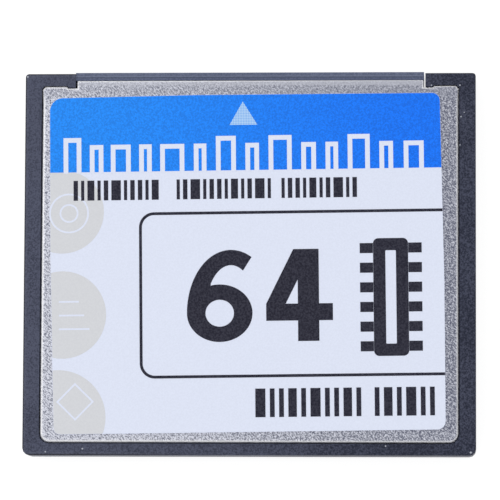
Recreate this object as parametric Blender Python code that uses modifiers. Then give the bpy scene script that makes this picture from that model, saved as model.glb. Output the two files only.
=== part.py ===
"""Compact flash memory card of the 3.3 mm kind.

A moulded frame holds a 50-way socket block and the circuit board behind it. Two pressed steel
covers close it above and below, and a printed label lies on the upper one.

Units are metres and +Z is up. The card lies flat with its label up and its sockets towards +Y. The
origin is under its middle, on the surface that it lies on.
"""

import math

import bmesh
import bpy
from mathutils import Euler, Matrix, Vector

MM = 0.001

# Sockets, in two rows that a host's pins enter from the front
SOCKETS_PER_ROW = 25
SOCKET_PITCH = 1.27 * MM
ROW_SPACING = 1.27 * MM
SOCKET_HOLE = 0.64 * MM
LEAD_IN_HOLE = 0.90 * MM
LEAD_IN_DEPTH = 0.25 * MM

# Socket block
BLOCK_END = 1.26 * MM
BLOCK_DEPTH = 5.0 * MM
LIP_DEPTH = 0.76 * MM
LIP_RECESS = 0.08 * MM
LIP_CHAMFER = 0.33 * MM
LIP_DROP = 0.14 * MM
LIP_EDGE = 0.05 * MM
EAR_LENGTH = 2.2 * MM

# Contacts, cut from strip and pressed into the sockets from behind
CONTACT_WIDTH = 0.40 * MM
CONTACT_SETBACK = 1.0 * MM
FORK_LENGTH = 2.0 * MM
FORK_ARM = 0.08 * MM
FORK_GRIP = 0.18 * MM
GRIP_SETBACK = 0.5 * MM
SHOULDER_INSET = 0.20 * MM
TAIL_THICKNESS = 0.15 * MM
TAIL_LENGTH = 1.5 * MM
TAIL_BEND = 0.45 * MM

# Card as a whole
CARD_LENGTH = 36.4 * MM
CARD_THICKNESS = 3.3 * MM

# Frame
CORNER_WIDTH = 4.77 * MM
CORNER_DEPTH = 1.16 * MM
HOOK_WIDTH = 0.65 * MM
HOOK_DROP = 0.15 * MM
CORNER_SETBACK = 0.12 * MM
RAIL_WIDTH = 1.55 * MM
REAR_WALL = 1.10 * MM
LEDGE_WIDTH = 1.25 * MM
SHELF_WIDTH = 0.70 * MM
REAR_RADIUS = 0.65 * MM
FRONT_RADIUS = 0.30 * MM
FRAME_EDGE = 0.12 * MM

# Guide grooves in the frame's sides, of two widths so that a card turned over won't enter
GUIDE_LENGTH = 25.78 * MM
GUIDE_DEPTH = 0.57 * MM
GUIDE_BASE = 1.01 * MM
WIDE_GUIDE = 1.60 * MM
NARROW_GUIDE = 0.99 * MM

# Covers
SHEET = 0.20 * MM
COVER_RECESS = 0.10 * MM
RIM_DEPTH = 0.45 * MM
BEND_RADIUS = 0.25 * MM
COVER_RADIUS = 0.90 * MM
CORNER_CHAMFER = 0.29 * MM
TONGUE_INSET = 0.05 * MM
TONGUE_RADIUS = 0.10 * MM
CLIP_WIDTH = 3.0 * MM
CLIP_DEPTH = 0.55 * MM
CLIP_SPACING = 10.0 * MM
CLIPS_PER_SIDE = 3

# Label
LABEL_THICKNESS = 0.07 * MM
LABEL_SIDE_MARGIN = 1.29 * MM
LABEL_REAR_MARGIN = 1.07 * MM
LABEL_FRONT_MARGIN = 1.43 * MM
LABEL_OFFSET = -0.21 * MM
LABEL_RADIUS = 0.80 * MM
LABEL_TURN = math.radians(0.72)
LABEL_BAND = 7.15 * MM

# Board and what is soldered to it
BOARD_THICKNESS = 0.60 * MM
BOARD_RADIUS = 0.50 * MM
FLASH_LENGTH = 18.4 * MM
FLASH_WIDTH = 12.0 * MM
FLASH_SPACE = 1.6 * MM
FLASH_LEAD_MARGIN = 0.25 * MM
CONTROLLER_SIDE = 10.0 * MM
CONTROLLER_LEAD_MARGIN = 1.25 * MM
LEAD_PITCH = 0.50 * MM
LEAD_WIDTH = 0.22 * MM
LEAD_THICKNESS = 0.12 * MM
LEAD_REACH = 0.80 * MM
CHIP_CHAMFER = 0.12 * MM
CHIP_STANDOFF = 0.07 * MM
CRYSTAL_LENGTH = 3.2 * MM
CRYSTAL_WIDTH = 2.5 * MM
CRYSTAL_HEIGHT = 0.70 * MM
CRYSTAL_RADIUS = 0.40 * MM
CRYSTAL_SPACE = 0.60 * MM
PASSIVE_LENGTH = 1.6 * MM
PASSIVE_WIDTH = 0.80 * MM
PASSIVE_HEIGHT = 0.50 * MM
PASSIVE_SPACING = 2.6 * MM
PASSIVES_PER_COLUMN = 6

# Clearances
FIT_GAP = 0.10 * MM
BLOCK_GAP = 0.13 * MM
COVER_GAP = 0.06 * MM
SEAT_GAP = 0.02 * MM
HEADROOM = 0.12 * MM
OVERCUT = 1.0 * MM

# Places that follow from the sizes above
MIDDLE = CARD_THICKNESS / 2
FRONT = CARD_LENGTH / 2
REAR = -CARD_LENGTH / 2
CORNER_FRONT = FRONT - CORNER_SETBACK
CORNER_REAR = CORNER_FRONT - CORNER_DEPTH
BLOCK_HALF = (SOCKETS_PER_ROW - 1) / 2 * SOCKET_PITCH + BLOCK_END
BLOCK_REAR = FRONT - BLOCK_DEPTH
OPENING_HALF = BLOCK_HALF + BLOCK_GAP
CARD_HALF = OPENING_HALF + CORNER_WIDTH
COVER_HALF = CARD_HALF - RAIL_WIDTH - COVER_GAP
COVER_REAR = REAR + REAR_WALL + COVER_GAP
COVER_TOP = CARD_THICKNESS - COVER_RECESS
COVER_INSIDE = COVER_TOP - SHEET
SHOULDER = CORNER_REAR - COVER_GAP
TONGUE_HALF = BLOCK_HALF - TONGUE_INSET
TONGUE_FRONT = FRONT - LIP_DEPTH - SEAT_GAP
LEDGE_TOP = COVER_TOP - RIM_DEPTH - SEAT_GAP
POCKET_HALF = CARD_HALF - RAIL_WIDTH - LEDGE_WIDTH
POCKET_REAR = REAR + REAR_WALL + LEDGE_WIDTH
EAR_FRONT = CORNER_REAR - HOOK_DROP - FIT_GAP
EAR_REAR = EAR_FRONT - EAR_LENGTH
BOARD_TOP = MIDDLE + BOARD_THICKNESS / 2
BOARD_BOTTOM = MIDDLE - BOARD_THICKNESS / 2
BOARD_HALF = POCKET_HALF - FIT_GAP
BOARD_REAR = POCKET_REAR + FIT_GAP
BOARD_FRONT = BLOCK_REAR - 2 * FIT_GAP
TAIL_REAR = BLOCK_REAR - TAIL_LENGTH
BOARD_MIDDLE = (BOARD_REAR + TAIL_REAR) / 2
CHIP_HEIGHT = COVER_INSIDE - BOARD_TOP - HEADROOM

ARC_STEP = math.radians(30)
ALONG_X = Euler((math.pi / 2, 0, math.pi / 2)).to_matrix().to_4x4()
HALF_TURN = Matrix.Rotation(math.pi, 4, "Y")


# Collections and materials

def clear_scene():
    for thing in list(bpy.data.objects):
        bpy.data.objects.remove(thing, do_unlink=True)


def new_collection(name):
    collection = bpy.data.collections.new(name)
    bpy.context.scene.collection.children.link(collection)
    return collection


def new_material(name, color, roughness, metallic=0.0):
    material = bpy.data.materials.new(name)
    material.use_nodes = True
    shader = material.node_tree.nodes["Principled BSDF"]
    shader.inputs["Base Color"].default_value = (*color, 1.0)
    shader.inputs["Roughness"].default_value = roughness
    shader.inputs["Metallic"].default_value = metallic
    return material


# Outlines

def rounded(corners):
    """Outline through (x, y, radius) corners, with an arc of that radius at each."""
    points = []
    for index, (x, y, radius) in enumerate(corners):
        corner = Vector((x, y))
        if not radius:
            points.append(corner)
            continue
        before = (Vector(corners[index - 1][:2]) - corner).normalized()
        after = (Vector(corners[(index + 1) % len(corners)][:2]) - corner).normalized()
        half = before.angle(after) / 2
        centre = corner + (before + after).normalized() * radius / math.sin(half)
        start = corner + before * radius / math.tan(half) - centre
        end = corner + after * radius / math.tan(half) - centre
        sweep = math.atan2(start.cross(end), start.dot(end))
        steps = max(1, math.ceil(abs(sweep) / ARC_STEP))
        for step in range(steps + 1):
            points.append(centre + Matrix.Rotation(sweep * step / steps, 2) @ start)
    return points


def rectangle(half_width, rear, front, rear_radius=0.0, front_radius=0.0):
    return rounded([
        (-half_width, rear, rear_radius),
        (half_width, rear, rear_radius),
        (half_width, front, front_radius),
        (-half_width, front, front_radius),
    ])


def both_sides(corners):
    """Right-hand corners, from the rear forwards, and their mirror images, as one outline."""
    left = [(-x, y, radius) for x, y, radius in reversed(corners)]
    return rounded(left[-1:] + corners + left[:-1])


def cover_outline(gap=0.0):
    """The covers' outline, or that of the frame's recess at this gap around them."""
    half = COVER_HALF + gap
    shoulder = SHOULDER + gap
    hook = OPENING_HALF + HOOK_WIDTH + COVER_GAP - gap
    return both_sides([
        (half, COVER_REAR - gap, COVER_RADIUS + gap),
        (half, shoulder - CORNER_CHAMFER, 0.0),
        (half - CORNER_CHAMFER, shoulder, 0.0),
        (hook + HOOK_DROP, shoulder, 0.0),
        (hook, shoulder - HOOK_DROP, 0.0),
        (TONGUE_HALF, shoulder - HOOK_DROP, 0.0),
        (TONGUE_HALF, TONGUE_FRONT, TONGUE_RADIUS),
    ])


# Solids

def link(name, mesh, collection, material=None):
    solid = bpy.data.objects.new(name, mesh)
    collection.objects.link(solid)
    if material and not mesh.materials:
        mesh.materials.append(material)
    return solid


def extruded(name, outline, low, high, along_x=False):
    """Mesh with this outline, filled and extruded between two heights, or two places along X.

    The outline's own coordinates are X and Y, or Y and Z when it is extruded along X.
    """
    curve = bpy.data.curves.new(name, "CURVE")
    curve.dimensions = "2D"
    curve.fill_mode = "BOTH"
    curve.extrude = (high - low) / 2
    spline = curve.splines.new("POLY")
    spline.points.add(len(outline) - 1)
    for point, (x, y) in zip(spline.points, outline):
        point.co = (x, y, 0.0, 1.0)
    spline.use_cyclic_u = True
    drawn = link(name + "_outline", curve, bpy.context.scene.collection)
    graph = bpy.context.evaluated_depsgraph_get()
    mesh = bpy.data.meshes.new_from_object(drawn.evaluated_get(graph))
    bpy.data.objects.remove(drawn)
    bpy.data.curves.remove(curve)
    mesh.name = name
    mesh.transform(Matrix.Translation((0.0, 0.0, (low + high) / 2)))
    if along_x:
        mesh.transform(ALONG_X)
    shape = bmesh.new()
    shape.from_mesh(mesh)
    bmesh.ops.remove_doubles(shape, verts=shape.verts, dist=0.001 * MM)
    bmesh.ops.dissolve_limit(
        shape, angle_limit=math.radians(1), verts=shape.verts, edges=shape.edges)
    bmesh.ops.recalc_face_normals(shape, faces=shape.faces)
    shape.to_mesh(mesh)
    shape.free()
    return mesh


def boxes(name, spans):
    """Mesh of separate boxes, each given by its low and high corner."""
    shape = bmesh.new()
    for low, high in spans:
        low, high = Vector(low), Vector(high)
        place = Matrix.Translation((low + high) / 2) @ Matrix.Diagonal((*(high - low), 1.0))
        bmesh.ops.create_cube(shape, size=1.0, matrix=place)
    mesh = bpy.data.meshes.new(name)
    shape.to_mesh(mesh)
    shape.free()
    return mesh


def helper(name, mesh):
    """Object that only cuts or joins: it isn't part of the card."""
    tool = link(name, mesh, CUTTERS)
    tool.hide_render = True
    tool.display_type = "WIRE"
    return tool


def combine(solid, tool, operation):
    change = solid.modifiers.new(tool.name, "BOOLEAN")
    change.object = tool
    change.operation = operation
    change.solver = "EXACT"


def cut(solid, tool):
    combine(solid, tool, "DIFFERENCE")


def join(solid, tool):
    combine(solid, tool, "UNION")


def round_edges(solid, width, segments, angle=math.radians(60)):
    bevel = solid.modifiers.new("edges", "BEVEL")
    bevel.width = width
    bevel.segments = segments
    bevel.limit_method = "ANGLE"
    bevel.angle_limit = angle
    return bevel


# Frame

def build_frame():
    """One moulding: two rails and a rear wall around a ledge that carries the board and covers."""
    outline = rectangle(CARD_HALF, REAR, CORNER_FRONT, REAR_RADIUS, FRONT_RADIUS)
    frame = link("frame", extruded("frame", outline, 0.0, CARD_THICKNESS), CARD, PLASTIC)
    round_edges(frame, FRAME_EDGE, 2)
    above = CARD_THICKNESS + OVERCUT
    recess = cover_outline(COVER_GAP)
    cut(frame, helper("upper_recess", extruded("upper_recess", recess, LEDGE_TOP, above)))
    cut(frame, helper("lower_recess", extruded(
        "lower_recess", recess, -OVERCUT, CARD_THICKNESS - LEDGE_TOP)))
    inner_front = CORNER_REAR - HOOK_DROP
    cut(frame, helper("board_pocket", boxes("board_pocket", [(
        (-POCKET_HALF, POCKET_REAR, BOARD_BOTTOM - SEAT_GAP),
        (POCKET_HALF, inner_front, above))])))
    window = POCKET_HALF - SHELF_WIDTH
    cut(frame, helper("window", boxes("window", [(
        (-window, POCKET_REAR + SHELF_WIDTH, -OVERCUT), (window, inner_front, above))])))
    cut(frame, helper("ear_pocket", boxes("ear_pocket", [(
        (-POCKET_HALF, EAR_REAR - FIT_GAP, -OVERCUT), (POCKET_HALF, inner_front, above))])))
    cut(frame, helper("front_opening", boxes("front_opening", [(
        (-OPENING_HALF, BLOCK_REAR, -OVERCUT), (OPENING_HALF, FRONT + OVERCUT, above))])))
    groove_end = FRONT - GUIDE_LENGTH
    floor = CARD_HALF - GUIDE_DEPTH
    out = CARD_HALF + OVERCUT
    ahead = FRONT + OVERCUT
    cut(frame, helper("wide_guide", boxes("wide_guide", [(
        (-out, groove_end, GUIDE_BASE), (-floor, ahead, GUIDE_BASE + WIDE_GUIDE))])))
    cut(frame, helper("narrow_guide", boxes("narrow_guide", [(
        (floor, groove_end, GUIDE_BASE), (out, ahead, GUIDE_BASE + NARROW_GUIDE))])))
    cut(frame, helper("clip_slots", boxes("clip_slots", clip_slots())))
    return frame


def clip_places():
    """Middle of each clip along the card's sides."""
    return [CLIP_SPACING * (i - (CLIPS_PER_SIDE - 1) / 2) for i in range(CLIPS_PER_SIDE)]


def clip_slots():
    """Slots in the ledge that take the covers' clips, on both sides, above and below."""
    half = CLIP_WIDTH / 2 + FIT_GAP
    outer = COVER_HALF + COVER_GAP
    inner = COVER_HALF - SHEET - FIT_GAP
    bottom = COVER_TOP - RIM_DEPTH - CLIP_DEPTH - FIT_GAP
    for y in clip_places():
        for left, right in ((-outer, -inner), (inner, outer)):
            yield (left, y - half, bottom), (right, y + half, LEDGE_TOP + SHEET)
            yield ((left, y - half, CARD_THICKNESS - LEDGE_TOP - SHEET),
                   (right, y + half, CARD_THICKNESS - bottom))


# Covers

def build_covers():
    """Steel pans with a rim bent down along the sides and the rear, and clips on the side rims.

    The lower cover is the same pressing turned over.
    """
    outline = cover_outline()
    clip_edges = [y + end * CLIP_WIDTH / 2 for y in clip_places() for end in (-1, 1)]
    shape = bmesh.new()
    face = shape.faces.new([shape.verts.new((x, y, COVER_TOP)) for x, y in outline])
    if face.normal.z < 0:
        face.normal_flip()
    for y in clip_edges:
        bmesh.ops.bisect_plane(
            shape, geom=shape.edges[:], plane_co=(0.0, y, 0.0), plane_no=(0.0, 1.0, 0.0))
    edge_end = SHOULDER - CORNER_CHAMFER
    folded = [edge for edge in shape.edges if all(
        vert.co.y < edge_end + SEAT_GAP and abs(vert.co.x) > TONGUE_HALF + HOOK_WIDTH
        or vert.co.y < COVER_REAR + COVER_RADIUS for vert in edge.verts)]
    rim = drawn_down(shape, folded, RIM_DEPTH)
    clips = [edge for edge in rim if is_clip(edge)]
    drawn_down(shape, clips, CLIP_DEPTH)
    bmesh.ops.recalc_face_normals(shape, faces=shape.faces)
    mesh = bpy.data.meshes.new("cover")
    shape.to_mesh(mesh)
    shape.free()
    mesh.transform(Matrix.Translation((0.0, 0.0, -MIDDLE)))
    for name, turn in (("top_cover", Matrix()), ("bottom_cover", HALF_TURN)):
        cover = link(name, mesh, CARD, STEEL)
        cover.matrix_world = Matrix.Translation((0.0, 0.0, MIDDLE)) @ turn
        round_edges(cover, BEND_RADIUS, 3)
        sheet = cover.modifiers.new("sheet", "SOLIDIFY")
        sheet.thickness = SHEET
        sheet.offset = -1.0
        sheet.use_even_offset = True


def drawn_down(shape, edges, depth):
    """Extrudes these edges straight down, and returns the new lower edges."""
    new = bmesh.ops.extrude_edge_only(shape, edges=edges)["geom"]
    verts = [item for item in new if isinstance(item, bmesh.types.BMVert)]
    bmesh.ops.translate(shape, verts=verts, vec=(0.0, 0.0, -depth))
    fresh = set(verts)
    return [edge for edge in shape.edges if all(vert in fresh for vert in edge.verts)]


def is_clip(edge):
    middle = (edge.verts[0].co + edge.verts[1].co) / 2
    on_side = abs(abs(middle.x) - COVER_HALF) < SEAT_GAP
    return on_side and any(abs(middle.y - y) < CLIP_WIDTH / 2 for y in clip_places())


# Label

def build_label():
    """Printed film on the upper cover, stuck on a little askew, with a band along its front."""
    half = COVER_HALF - LABEL_SIDE_MARGIN
    rear = COVER_REAR + LABEL_REAR_MARGIN
    front = TONGUE_FRONT - LABEL_FRONT_MARGIN
    half_length = (front - rear) / 2
    outline = rectangle(half, -half_length, half_length, LABEL_RADIUS, LABEL_RADIUS)
    bottom = COVER_TOP + SEAT_GAP / 2
    mesh = extruded("label", outline, bottom, bottom + LABEL_THICKNESS)
    shape = bmesh.new()
    shape.from_mesh(mesh)
    band = half_length - LABEL_BAND
    bmesh.ops.bisect_plane(
        shape, geom=shape.verts[:] + shape.edges[:] + shape.faces[:],
        plane_co=(0.0, band, 0.0), plane_no=(0.0, 1.0, 0.0))
    for face in shape.faces:
        face.material_index = int(face.calc_center_median().y > band)
    shape.to_mesh(mesh)
    shape.free()
    label = link("label", mesh, CARD, PAPER)
    label.data.materials.append(BAND)
    label.location = (LABEL_OFFSET, (front + rear) / 2, 0.0)
    label.rotation_euler.z = LABEL_TURN
    return label


# Socket block

def socket_places():
    """Middle of each socket as (x, z): the upper row, then the lower one."""
    for z in (MIDDLE + ROW_SPACING / 2, MIDDLE - ROW_SPACING / 2):
        for index in range(SOCKETS_PER_ROW):
            yield (index - (SOCKETS_PER_ROW - 1) / 2) * SOCKET_PITCH, z


def build_socket_block():
    """Moulding with 50 through sockets, an ear at each end and a chamfered lip before the covers."""
    lip = MIDDLE - LIP_RECESS
    body = COVER_INSIDE - SEAT_GAP - MIDDLE
    lip_rear = FRONT - LIP_DEPTH
    profile = rounded([
        (BLOCK_REAR, MIDDLE - body, 0.0),
        (lip_rear, MIDDLE - body, 0.0),
        (lip_rear, MIDDLE - lip, 0.0),
        (FRONT - LIP_CHAMFER, MIDDLE - lip, 0.0),
        (FRONT, MIDDLE - lip + LIP_DROP, LIP_EDGE),
        (FRONT, MIDDLE + lip - LIP_DROP, LIP_EDGE),
        (FRONT - LIP_CHAMFER, MIDDLE + lip, 0.0),
        (lip_rear, MIDDLE + lip, 0.0),
        (lip_rear, MIDDLE + body, 0.0),
        (BLOCK_REAR, MIDDLE + body, 0.0),
    ])
    mesh = extruded("connector_housing", profile, -BLOCK_HALF, BLOCK_HALF, along_x=True)
    block = link("connector_housing", mesh, CARD, SOCKET_PLASTIC)
    ear = LEDGE_TOP - SEAT_GAP - MIDDLE
    ear_end = POCKET_HALF - FIT_GAP
    join(block, helper("ears", boxes("ears", [
        ((side * ear_end, EAR_REAR, MIDDLE - ear),
         (side * (BLOCK_HALF - FIT_GAP), EAR_FRONT, MIDDLE + ear)) for side in (-1, 1)])))
    half = SOCKET_HOLE / 2
    cut(block, helper("sockets", boxes("sockets", [
        ((x - half, BLOCK_REAR - OVERCUT, z - half), (x + half, FRONT + OVERCUT, z + half))
        for x, z in socket_places()])))
    cut(block, helper("lead_ins", lead_ins()))
    return block


def lead_ins():
    """Four-sided funnels that widen each socket's mouth."""
    slope = (LEAD_IN_HOLE - SOCKET_HOLE) / 2 / LEAD_IN_DEPTH
    inner = SOCKET_HOLE / 2 - slope * LEAD_IN_DEPTH
    outer = LEAD_IN_HOLE / 2 + slope * LEAD_IN_DEPTH
    to_front = Matrix.Rotation(-math.pi / 2, 4, "X") @ Matrix.Rotation(math.pi / 4, 4, "Z")
    shape = bmesh.new()
    for x, z in socket_places():
        bmesh.ops.create_cone(
            shape, segments=4, cap_ends=True, radius1=inner * math.sqrt(2),
            radius2=outer * math.sqrt(2), depth=3 * LEAD_IN_DEPTH,
            matrix=Matrix.Translation((x, FRONT - LEAD_IN_DEPTH / 2, z)) @ to_front)
    mesh = bpy.data.meshes.new("lead_ins")
    shape.to_mesh(mesh)
    shape.free()
    return mesh


def build_contacts():
    """Fifty forked contacts: two arms that grip a pin, a root, and a tail down to the board."""
    tip = FRONT - CONTACT_SETBACK
    fork_root = tip - FORK_LENGTH
    root_rear = BLOCK_REAR + SHOULDER_INSET
    half = SOCKET_HOLE / 2 - 2 * SEAT_GAP
    tail = TAIL_THICKNESS / 2
    drop = BOARD_TOP + SEAT_GAP + tail - (MIDDLE + ROW_SPACING / 2)
    upper = [
        (fork_root, FORK_GRIP / 2 + FORK_ARM / 2),
        (tip - GRIP_SETBACK, FORK_GRIP / 2),
        (tip, half - FORK_ARM),
        (tip, half),
        (root_rear + TAIL_THICKNESS, half),
        (root_rear, tail),
        (BLOCK_REAR, tail),
    ]
    lower = [(y, -z) for y, z in reversed(upper)]
    bent = [
        (BLOCK_REAR - TAIL_BEND, drop + tail),
        (TAIL_REAR, drop + tail),
        (TAIL_REAR, drop - tail),
        (BLOCK_REAR - TAIL_BEND, drop - tail),
    ]
    outline = [Vector(point) for point in upper + bent + lower]
    mesh = extruded("contact", outline, -CONTACT_WIDTH / 2, CONTACT_WIDTH / 2, along_x=True)
    for number, (x, z) in enumerate(socket_places(), start=1):
        contact = link(f"contact_{number:02d}", mesh, CARD, GOLD)
        turn = Matrix() if z > MIDDLE else HALF_TURN
        contact.matrix_world = Matrix.Translation((x, 0.0, z)) @ turn


# Board

def build_board():
    """Circuit board on the frame's shelf, with the small parts soldered down both its sides."""
    shape = rectangle(BOARD_HALF, BOARD_REAR, BOARD_FRONT, BOARD_RADIUS, BOARD_RADIUS)
    mesh = extruded("circuit_board", shape, BOARD_BOTTOM, BOARD_TOP)
    board = link("circuit_board", mesh, CARD, BOARD_GREEN)
    join(board, helper("passives", boxes("passives", passives())))
    return board


def passives():
    """Resistors and capacitors in a column beside each flash chip, on both faces."""
    column = (FLASH_SPACE / 2 + FLASH_WIDTH + BOARD_HALF - SHELF_WIDTH) / 2
    half = BOARD_THICKNESS / 2 + PASSIVE_HEIGHT
    for side in (-1, 1):
        for index in range(PASSIVES_PER_COLUMN):
            x = side * column
            y = BOARD_MIDDLE + (index - (PASSIVES_PER_COLUMN - 1) / 2) * PASSIVE_SPACING
            yield ((x - PASSIVE_LENGTH / 2, y - PASSIVE_WIDTH / 2, MIDDLE - half),
                   (x + PASSIVE_LENGTH / 2, y + PASSIVE_WIDTH / 2, MIDDLE + half))


def leaded_chip(name, place, half_width, half_length, lead_margin, sides):
    """Moulded chip on gull-wing leads, with leads at these sides, given in quarter turns.

    It is drawn standing on Z = 0, and the place matrix puts it on its side of the board. As many
    leads as fit go along a side, and the margin is from the corner to the first lead's middle.
    """
    body = boxes(name, [((-half_width, -half_length, CHIP_STANDOFF),
                         (half_width, half_length, CHIP_HEIGHT))])
    chip = link(name, body, CARD, CHIP_BLACK)
    chip.matrix_world = place
    round_edges(chip, CHIP_CHAMFER, 1)
    middle = (CHIP_STANDOFF + CHIP_HEIGHT) / 2
    half = LEAD_THICKNESS / 2
    reach = half_length + LEAD_REACH
    profile = [Vector(point) for point in (
        (half_length - LEAD_REACH, middle - half),
        (half_length + LEAD_REACH / 4, middle - half),
        (half_length + LEAD_REACH / 2, SEAT_GAP),
        (reach, SEAT_GAP),
        (reach, SEAT_GAP + LEAD_THICKNESS),
        (half_length + LEAD_REACH / 4 + LEAD_THICKNESS, middle + half),
        (half_length - LEAD_REACH, middle + half),
    )]
    lead = extruded(name + "_lead", profile, -LEAD_WIDTH / 2, LEAD_WIDTH / 2, along_x=True)
    shape = bmesh.new()
    leads = math.floor(2 * (half_width - lead_margin + SEAT_GAP) / LEAD_PITCH) + 1
    for turns in sides:
        for index in range(leads):
            x = (index - (leads - 1) / 2) * LEAD_PITCH
            copy = bmesh.new()
            copy.from_mesh(lead)
            turn = Matrix.Rotation(turns * math.pi / 2, 4, "Z")
            copy.transform(turn @ Matrix.Translation((x, 0, 0)))
            moved = bpy.data.meshes.new(lead.name)
            copy.to_mesh(moved)
            copy.free()
            shape.from_mesh(moved)
            bpy.data.meshes.remove(moved)
    shape.to_mesh(lead)
    shape.free()
    tool = helper(name + "_leads", lead)
    tool.matrix_world = place
    join(chip, tool)


def build_chips():
    """Two flash chips on the board, and the controller with its crystal under it."""
    over_board = Matrix.Translation((0.0, BOARD_MIDDLE, BOARD_TOP))
    under_board = Matrix.Translation((0.0, BOARD_MIDDLE, BOARD_BOTTOM)) @ HALF_TURN
    x = (FLASH_SPACE + FLASH_WIDTH) / 2
    for number, side in ((1, -x), (2, x)):
        leaded_chip(
            f"flash_chip_{number}", over_board @ Matrix.Translation((side, 0.0, 0.0)),
            FLASH_WIDTH / 2, FLASH_LENGTH / 2, FLASH_LEAD_MARGIN, (0, 2))
    half = CONTROLLER_SIDE / 2
    leaded_chip(
        "controller_chip", under_board, half, half, CONTROLLER_LEAD_MARGIN, (0, 1, 2, 3))
    outline = rectangle(
        CRYSTAL_WIDTH / 2, -CRYSTAL_LENGTH / 2, CRYSTAL_LENGTH / 2, CRYSTAL_RADIUS, CRYSTAL_RADIUS)
    mesh = extruded("crystal", outline, SEAT_GAP, SEAT_GAP + CRYSTAL_HEIGHT)
    crystal = link("crystal", mesh, CARD, CAN)
    beside = half + LEAD_REACH + CRYSTAL_SPACE + CRYSTAL_WIDTH / 2
    crystal.matrix_world = under_board @ Matrix.Translation((beside, 0.0, 0.0))


clear_scene()
CARD = new_collection("compact_flash_card")
CUTTERS = new_collection("cutters")
PLASTIC = new_material("frame_plastic", (0.055, 0.062, 0.095), 0.42)
SOCKET_PLASTIC = new_material("socket_plastic", (0.10, 0.12, 0.19), 0.35)
STEEL = new_material("cover_steel", (0.55, 0.56, 0.60), 0.38, 1.0)
PAPER = new_material("label_white", (0.73, 0.77, 0.90), 0.45)
BAND = new_material("label_blue", (0.02, 0.24, 0.92), 0.45)
GOLD = new_material("contact_gold", (0.83, 0.62, 0.24), 0.25, 1.0)
BOARD_GREEN = new_material("board_green", (0.03, 0.16, 0.08), 0.40)
CHIP_BLACK = new_material("chip_black", (0.02, 0.02, 0.022), 0.50)
CAN = new_material("crystal_can", (0.70, 0.70, 0.68), 0.30, 1.0)
build_frame()
build_covers()
build_label()
build_socket_block()
build_contacts()
build_board()
build_chips()
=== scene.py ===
import math

import bmesh
import bpy
import numpy as np
from mathutils import Matrix, Vector
from mathutils.geometry import tessellate_polygon


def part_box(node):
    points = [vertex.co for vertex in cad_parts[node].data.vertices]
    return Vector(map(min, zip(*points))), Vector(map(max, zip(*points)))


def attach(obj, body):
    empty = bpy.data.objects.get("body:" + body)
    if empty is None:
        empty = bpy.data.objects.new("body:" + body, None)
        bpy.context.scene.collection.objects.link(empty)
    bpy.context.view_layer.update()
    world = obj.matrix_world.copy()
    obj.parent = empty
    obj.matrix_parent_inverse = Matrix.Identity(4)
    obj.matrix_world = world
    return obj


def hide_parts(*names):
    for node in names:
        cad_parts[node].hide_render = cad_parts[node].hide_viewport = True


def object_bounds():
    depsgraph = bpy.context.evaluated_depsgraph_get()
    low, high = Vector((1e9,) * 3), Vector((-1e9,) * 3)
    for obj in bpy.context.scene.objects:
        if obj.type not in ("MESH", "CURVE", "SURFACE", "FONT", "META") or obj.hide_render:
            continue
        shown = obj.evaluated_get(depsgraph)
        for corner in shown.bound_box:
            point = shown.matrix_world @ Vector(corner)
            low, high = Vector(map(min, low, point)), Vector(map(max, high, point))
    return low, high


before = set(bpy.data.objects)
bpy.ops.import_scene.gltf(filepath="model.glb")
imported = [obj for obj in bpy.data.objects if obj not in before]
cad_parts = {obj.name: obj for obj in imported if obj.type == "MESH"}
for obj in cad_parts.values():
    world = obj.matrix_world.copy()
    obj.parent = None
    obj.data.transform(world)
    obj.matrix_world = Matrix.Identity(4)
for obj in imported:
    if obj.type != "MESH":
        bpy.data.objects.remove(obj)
CAD_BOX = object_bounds()
MM = 0.001


# Frame
# One moulding in dark blue-grey plastic, with a spark-eroded skin from its mould. It carries the
# board, the socket block and both covers. Its tone is darker towards the card's right as painted
# shade. Its upper outer edge is painted near black as painted shade, most at the left, with a grey
# painted highlight band just inside, and its pale specks are partly dust and partly painted glints.

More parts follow.
